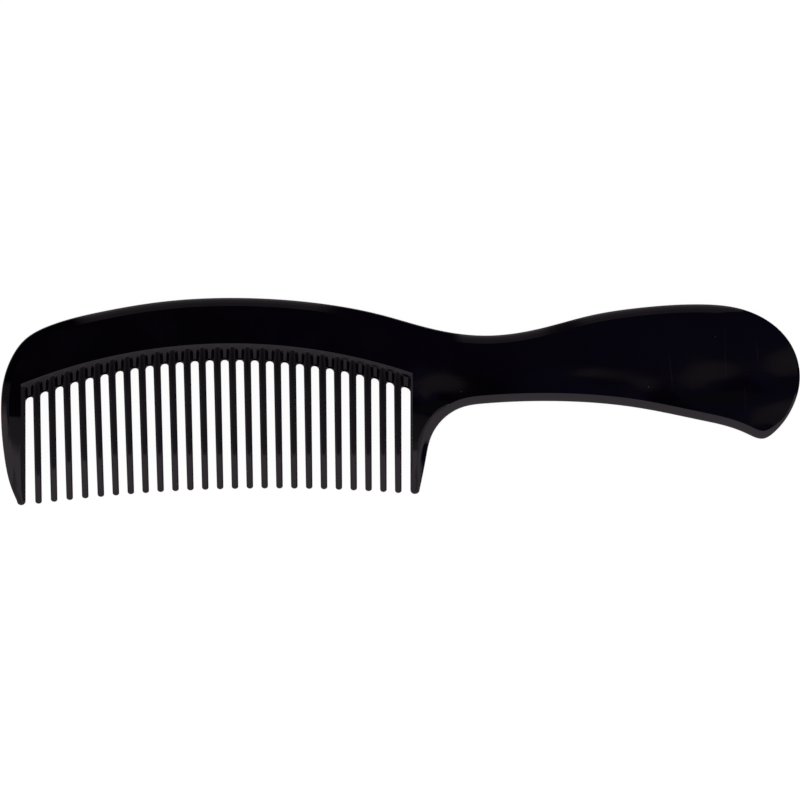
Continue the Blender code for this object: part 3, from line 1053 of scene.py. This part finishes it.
# Noises of the plastic: scale, detail and roughness, and how some are stretched and offset
FLOW = (45.0, 3.0, 0.5, (0.35, 1.0, 1.0))
GRAIN = (1500.0, 2.0, 0.6)
SCRATCHES = (900.0, 3.0, 0.7, (0.05, 1.0, 1.0))
CROSS_SCRATCHES = (700.0, 3.0, 0.7, (1.0, 0.06, 1.0), (0.3, 0.1, 0.0))
HAZE = (70.0, 4.0, 0.6, (1.0, 1.0, 1.0), (1.0, 2.0, 0.0))
DUSTY_PLACES = (60.0, 1.0, 0.5, (1.0, 1.0, 1.0), (3.0, 0.0, 1.0))

# Ranges over which marks come in: flow, wear, then haze, scratches and cross scratches
FLOW_RANGE = (0.3, 0.7)
WORN_RANGE = (0.35, 0.65)
MARK_RANGES = ((0.45, 0.75), (0.6, 0.8), (0.62, 0.8))

# Specks of dust: cells a metre, the distances in a cell between which a speck fades, and how rare
DUST_CELLS = 240.0
DUST_EDGE = (0.05, 0.02)
DUST_RARITY = 0.6

# Roughness of the clean gloss, and what those three marks, wear, dust and the painted reflection lines add
# to it
GLOSS = 0.055
ROUGHENING = (0.03, 0.03, 0.02, 0.12, 0.4, 0.08)

# Colours of the plastic, of its flow lines, and of the marks on it, with the grey of the painted reflection
# lines on the grip
BLACK = (0.0004, 0.0002, 0.0006, 1.0)
FLOW_BLACK = (0.0007, 0.0005, 0.0013, 1.0)
WORN_BLACK = (0.008, 0.0075, 0.009, 1.0)
# Grey of the painted reflection lines: lighter hairlines that stand in for reflections of lamp edges on the
# grip
REFLECTION_LINE_GREY = (0.012, 0.0115, 0.014, 1.0)
DUST_GREY = (0.03, 0.028, 0.03, 1.0)
WORN_STRENGTH = 0.5
# How far the painted reflection lines lighten the colour
REFLECTION_LINE_STRENGTH = 0.2
WEAR_POWER = 3.0

# Relief of the surface, in hundredths of a millimetre
RELIEF = 0.00001
FLOW_RELIEF = 2.5
GRAIN_RELIEF = 0.06
SCRATCH_RELIEF = 0.06

PLASTIC_IOR = 1.46
GLOSS_TINT = (1.0, 0.87, 1.0, 1.0)


def make_plastic():
    """Glossy black moulding plastic: flow, fine scratches, handling haze, painted reflection lines on the
    grip and specks of dust.
    """
    material = bpy.data.materials.new("black_moulding_plastic")
    n = Nodes(material)
    place = n.add("ShaderNodeTexCoord").outputs["Object"]
    x, y, _ = n.add("ShaderNodeSeparateXYZ", {0: place}).outputs
    noises = (FLOW, GRAIN, SCRATCHES, CROSS_SCRATCHES, HAZE)
    flow, grain, scratches, cross, haze = (n.noise(place, *noise) for noise in noises)
    specks = n.add("ShaderNodeTexVoronoi", {"Vector": place, "Scale": DUST_CELLS}, feature="F1")
    rare = n.math("GREATER_THAN", n.noise(place, *DUSTY_PLACES), DUST_RARITY)
    dust = n.times(n.step(specks.outputs["Distance"], *DUST_EDGE), rare)
    # Painted reflection: thin lighter arcs on the grip in place of reflections of lamp edges; they add
    # roughness too
    painted_lines = n.most(*[painted_reflection_line(n, x, y, *line) for line in PAINTED_REFLECTION_LINES])
    wear = n.add("ShaderNodeAttribute", attribute_name="wear").outputs["Fac"]
    worn = n.times(n.math("POWER", wear, WEAR_POWER), n.step(haze, *WORN_RANGE))
    marks = [n.step(noise, *reach) for noise, reach in zip((haze, scratches, cross), MARK_RANGES)]
    rough = GLOSS
    for mark, added in zip(marks + [worn, dust, painted_lines], ROUGHENING):
        rough = n.math("MULTIPLY_ADD", mark, added, rough)
    colour = n.mix(n.step(flow, *FLOW_RANGE), BLACK, FLOW_BLACK)
    colour = n.mix(n.times(worn, WORN_STRENGTH), colour, WORN_BLACK)
    # Painted reflection lines lighten the colour here
    colour = n.mix(n.times(painted_lines, REFLECTION_LINE_STRENGTH), colour, REFLECTION_LINE_GREY)
    colour = n.mix(dust, colour, DUST_GREY)
    height = n.math("MULTIPLY_ADD", flow, FLOW_RELIEF, n.times(grain, GRAIN_RELIEF))
    height = n.math("MULTIPLY_ADD", scratches, SCRATCH_RELIEF, height)
    bump = n.add("ShaderNodeBump", {"Strength": 1.0, "Distance": RELIEF, "Height": height})
    shader = n.add("ShaderNodeBsdfPrincipled", {
        "Base Color": colour,
        "Roughness": rough,
        "Normal": bump.outputs[0],
        "IOR": PLASTIC_IOR,
        "Specular Tint": GLOSS_TINT,
    })
    n.add("ShaderNodeOutputMaterial", {"Surface": shader.outputs[0]})
    return material


def seen(n):
    """1 for the rays of the camera, of glossy reflection and of transmission."""
    path = n.add("ShaderNodeLightPath")
    kinds = ("Is Camera Ray", "Is Glossy Ray", "Is Transmission Ray")
    return n.most(*[path.outputs[kind] for kind in kinds])


# Floor: its reach in metres, its own white, and the glow that the camera sees in most of it
FLOOR_REACH = 14.0
FLOOR_WHITE = (0.9, 0.9, 0.9, 1.0)
GLOW_STRENGTH = 1.1
GLOW_SHARE = 0.86


def make_floor():
    """A plain white floor that keeps a faint shadow of the comb."""
    corners = [(x * FLOOR_REACH, y * FLOOR_REACH, 0.0) for x, y in ((-1, -1), (1, -1), (1, 1), (-1, 1))]
    mesh = bpy.data.meshes.new("floor")
    mesh.from_pydata(corners, [], [(0, 1, 2, 3)])
    floor = bpy.data.objects.new("floor", mesh)
    bpy.context.scene.collection.objects.link(floor)
    material = bpy.data.materials.new("white_floor")
    n = Nodes(material)
    diffuse = n.add("ShaderNodeBsdfDiffuse", {"Color": FLOOR_WHITE}).outputs[0]
    glow = n.add("ShaderNodeEmission", {"Strength": GLOW_STRENGTH}).outputs[0]
    share = n.times(seen(n), GLOW_SHARE)
    mix = n.add("ShaderNodeMixShader", {0: share, 1: diffuse, 2: glow})
    n.add("ShaderNodeOutputMaterial", {"Surface": mix.outputs[0]})
    mesh.materials.append(material)


# Angles of the light are in degrees, from straight above and from straight ahead or behind.
# Great soft lamp towards the teeth
LAMP_LEVEL = 0.8
LAMP_TOP = (6.5, 9.0)
LAMP_DIP = ((36, 45), (49.5, 46))
LAMP_DIP_DEPTH = -0.39

# Its two side edges: how far each is turned, its moves further down, and its fade
LAMP_LEFT = (-68.0, (((22, 30), -10.0), ((62, 68), -9.0), ((46, 53, 3), -17.0)), (-7, 0))
LAMP_RIGHT = (48.0, (((24, 30), 23.0), ((42, 54, 3), 7.0)), (6, 0))

# Dim ring that surrounds the dark straight above
RING_LEVEL = 0.16
RING_TOP = (1.7, 2.2)
RING_FOOT = (54, 51)
RING_BRIGHTER = 0.11
RING_AHEAD_TOP = (2.4, 3.8)
RING_AHEAD_SIDES = (-40, 40, 30)
RING_LOWER_TOP = (6, 14)
RING_REAR_SIDES = (-65, 65, 20)
RING_REAR_LOSS = -0.72

# Broad fill behind the comb, and low strips at the two sides
FILL_LEVEL = 1.6
FILL_SIDES = (-55, 55, 15)
FILL_HEIGHTS = (18, 46, 5)
STRIP_LEVEL = 0.14
STRIP_TOP = (50, 56)
STRIP_LEFT = (-99, -86, 4)
STRIP_RIGHT = (98, 119, 5)

# Narrow softbox behind, which brightens in steps lower down, and the light band on the horizon
SOFTBOX_SIDES = (-6, 12.5, 3.5)
SOFTBOX_STEPS = (((57, 60), 0.22), ((68, 72), 0.11), ((77, 81), 0.5))
HORIZON_TOP = (84.5, 87.5)
HORIZON_LEVEL = 0.9

# Faint tints of the dark parts: on the left, then straight above and on the right, then between
DARK_VIOLET = (0.01, 0.003, 0.014, 1.0)
DEEP_BLUE = (0.045, 0.038, 0.1, 1.0)
VIOLET = (0.03, 0.022, 0.055, 1.0)
VIOLET_TOP = (2.5, 4.0)
LEFT_EDGE = (-0.002, 0.006)
RIGHT_EDGE = (0.3, 0.5)


def lamp_side(n, polar, front, turned, moves, fade):
    """1 inside a side edge of the lamp, which moves by a step or a bay at some heights."""
    for reach, move in moves:
        moved = n.window(polar, *reach) if len(reach) == 3 else n.step(polar, *reach)
        turned = n.math("MULTIPLY_ADD", moved, move, turned)
    return n.step(n.math("SUBTRACT", front, turned), *fade)


def great_lamp(n, polar, front):
    """The lamp towards the teeth, with its dimmer strip and its uneven side edges."""
    dip_in, dip_out = LAMP_DIP
    dimmed = n.times(n.step(polar, *dip_in), n.step(polar, *dip_out))
    dimmed = n.math("MULTIPLY_ADD", dimmed, LAMP_DIP_DEPTH, 1.0)
    left, right = (lamp_side(n, polar, front, *side) for side in (LAMP_LEFT, LAMP_RIGHT))
    return n.times(left, right, n.step(polar, *LAMP_TOP), dimmed, LAMP_LEVEL)


def dim_ring(n, polar, front, rear):
    """The ring round the dark straight above, brighter ahead and lower down, and dimmer behind."""
    ahead = n.times(n.step(polar, *RING_AHEAD_TOP), n.window(front, *RING_AHEAD_SIDES))
    brighter = n.most(ahead, n.step(polar, *RING_LOWER_TOP))
    ring = n.math("MULTIPLY_ADD", brighter, RING_BRIGHTER, RING_LEVEL)
    behind = n.math("MULTIPLY_ADD", n.window(rear, *RING_REAR_SIDES), RING_REAR_LOSS, 1.0)
    return n.times(ring, n.step(polar, *RING_TOP), n.step(polar, *RING_FOOT), behind)


def make_light():
    """A soft dome: bright towards the teeth, dim at the sides, a softbox behind, dark straight above."""
    world = bpy.data.worlds.new("studio")
    bpy.context.scene.world = world
    n = Nodes(world)
    towards = n.add("ShaderNodeTexCoord").outputs["Generated"]
    x, y, z = n.add("ShaderNodeSeparateXYZ", {0: towards}).outputs
    degrees = 180 / math.pi
    polar = n.times(n.math("ARCCOSINE", z), degrees)
    front = n.times(n.math("ARCTAN2", x, n.times(y, -1.0)), degrees)
    rear = n.times(n.math("ARCTAN2", n.times(x, -1.0), y), degrees)
    lamp = great_lamp(n, polar, front)
    ring = dim_ring(n, polar, front, rear)
    fill = n.times(n.window(rear, *FILL_SIDES), n.window(polar, *FILL_HEIGHTS), FILL_LEVEL)
    strips = n.most(n.window(front, *STRIP_LEFT), n.window(front, *STRIP_RIGHT))
    strips = n.times(strips, n.step(polar, *STRIP_TOP), STRIP_LEVEL)
    softbox = 0.0
    for reach, level in SOFTBOX_STEPS:
        softbox = n.math("MULTIPLY_ADD", n.step(polar, *reach), level, softbox)
    softbox = n.times(softbox, n.window(rear, *SOFTBOX_SIDES))
    horizon = n.times(n.step(polar, *HORIZON_TOP), HORIZON_LEVEL)
    total = n.most(lamp, ring, fill, strips, softbox, horizon)
    light = n.add("ShaderNodeCombineColor", {0: total, 1: total, 2: total})
    above = n.mix(n.step(polar, *VIOLET_TOP), DEEP_BLUE, VIOLET)
    above = n.mix(n.step(x, *RIGHT_EDGE), above, DEEP_BLUE)
    dark = n.mix(n.step(x, *LEFT_EDGE), DARK_VIOLET, above)
    lit = n.mix(1.0, light.outputs[0], dark, blend="LIGHTEN")
    background = n.add("ShaderNodeBackground", {"Color": lit})
    n.add("ShaderNodeOutputWorld", {"Surface": background.outputs[0]})


# Camera, in metres: its place over the comb, and the width that it sees at mid thickness
CAMERA_PLACE = (-0.000108, 0.000413, 8.0)
VIEW_WIDTH = 0.216
CLIP_END = 100.0
SENSOR = 36.0


def make_camera():
    """A long lens straight above the comb, framed as the photograph is."""
    camera = bpy.data.objects.new("camera", bpy.data.cameras.new("camera"))
    camera.data.sensor_width = SENSOR
    camera.data.lens = SENSOR * (CAMERA_PLACE[2] - HALF_BODY * MM) / VIEW_WIDTH
    camera.data.clip_end = CLIP_END
    camera.location = CAMERA_PLACE
    bpy.context.scene.collection.objects.link(camera)
    bpy.context.scene.camera = camera


plastic = make_plastic()
make_back()
make_handle()
make_guards()
for tooth in range(TOOTH_COUNT):
    make_tooth(tooth)
make_floor()
make_light()
make_camera()
bpy.context.scene.view_settings.view_transform = "Standard"
